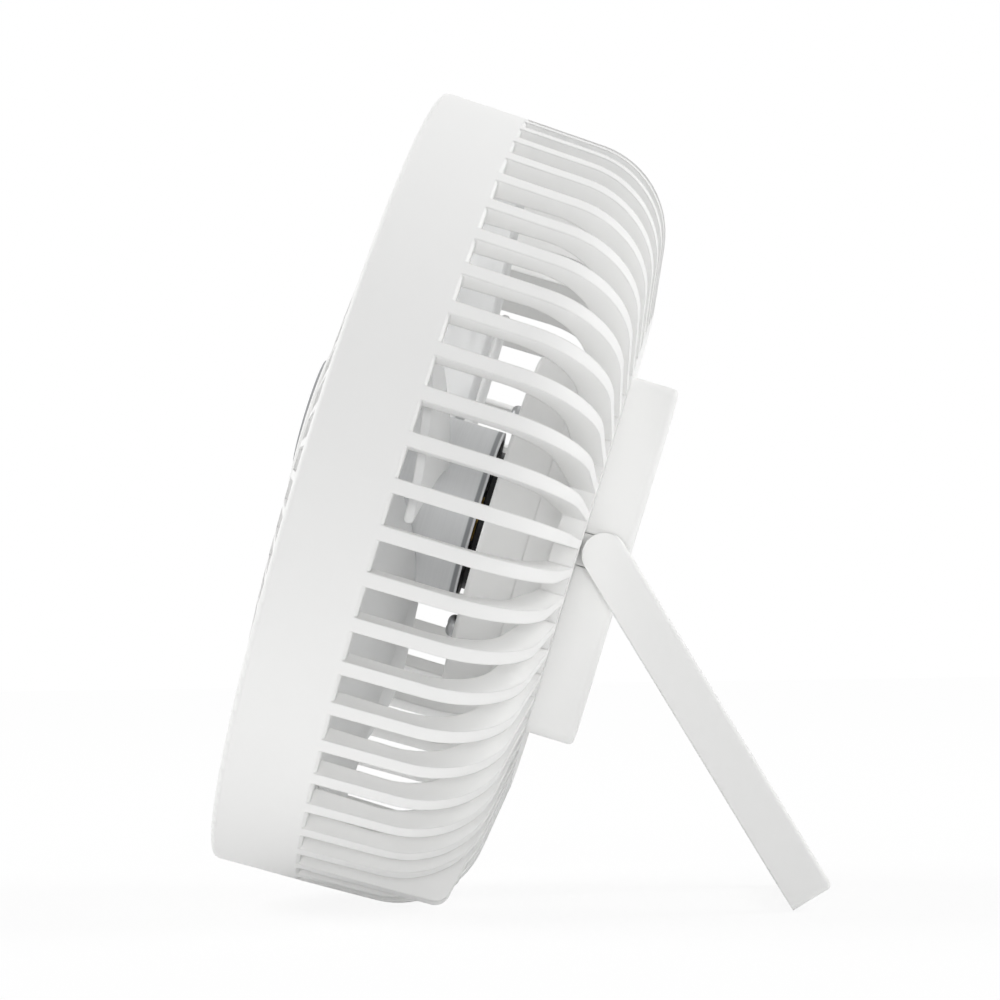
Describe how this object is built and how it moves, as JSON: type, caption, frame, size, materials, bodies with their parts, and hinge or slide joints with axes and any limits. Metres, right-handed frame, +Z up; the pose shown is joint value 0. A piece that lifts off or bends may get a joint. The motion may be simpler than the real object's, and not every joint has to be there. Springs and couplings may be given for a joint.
{
  "type": "personal fan",
  "caption": "Small rechargeable desk fan in a round ribbed drum, leaning back on a U-shaped stand that swings from a flat housing on its back.",
  "frame": {"origin": "on the floor, under the middle of the fan's box, as the fan stands on its lower ribs and stand", "axes": "+Z up, -Y the way the fan blows, +X to the side that the picture shows"},
  "size_m": [0.1457, 0.11, 0.1474],
  "materials": {
    "white_abs": "satin",
    "badge_grey": "satin",
    "black_board": "matte",
    "green_board": "satin",
    "steel": "satin",
    "can_steel": "satin",
    "brass_tube": "satin",
    "copper_wire": "satin",
    "ferrite": "matte",
    "cell_pouch": "satin",
    "foam": "matte",
    "rubber": "matte",
    "light_pipe": "gloss"
  },
  "bodies": {
    "fan_body": {"rear_cage": "white_abs", "front_grille": "white_abs", "hub_cap": "white_abs", "badge_disc": "badge_grey", "rear_housing": "white_abs", "mount_screws": "steel", "motor_board": "black_board", "bearing_tube": "brass_tube", "ball_bearings": "steel", "stator_core": "can_steel", "stator_coils": "copper_wire", "battery_pack": "cell_pouch", "battery_pad": "foam", "main_board": "green_board", "board_screws": "steel", "usb_socket": "steel", "tact_switch": "black_board", "indicator_window": "light_pipe", "friction_rings": "rubber"},
    "rotor": {"impeller": "white_abs", "rotor_can": "can_steel", "ring_magnet": "ferrite", "motor_shaft": "steel", "shaft_clip": "steel"},
    "stand": {"stand": "white_abs", "pivot_washers": "steel", "pivot_screws": "steel"},
    "button": {"power_button": "white_abs"}
  },
  "joints": [
    {"name": "impeller_spin", "type": "hinge", "parent": "fan_body", "child": "rotor", "pos_m": [0, -0.01721, 0.07321], "axis": [0, -0.9523, 0.3052], "continuous": true},
    {"name": "stand_swing", "type": "hinge", "parent": "fan_body", "child": "stand", "pos_m": [0, 0.01674, 0.06201], "axis": [1, 0, 0], "range_deg": [-48, 131.8]},
    {"name": "button_press", "type": "slide", "parent": "fan_body", "child": "button", "axis": [0, -0.9523, 0.3052], "range_m": [0, 0.0005], "stiffness_N_per_m": 2000}
  ]
}
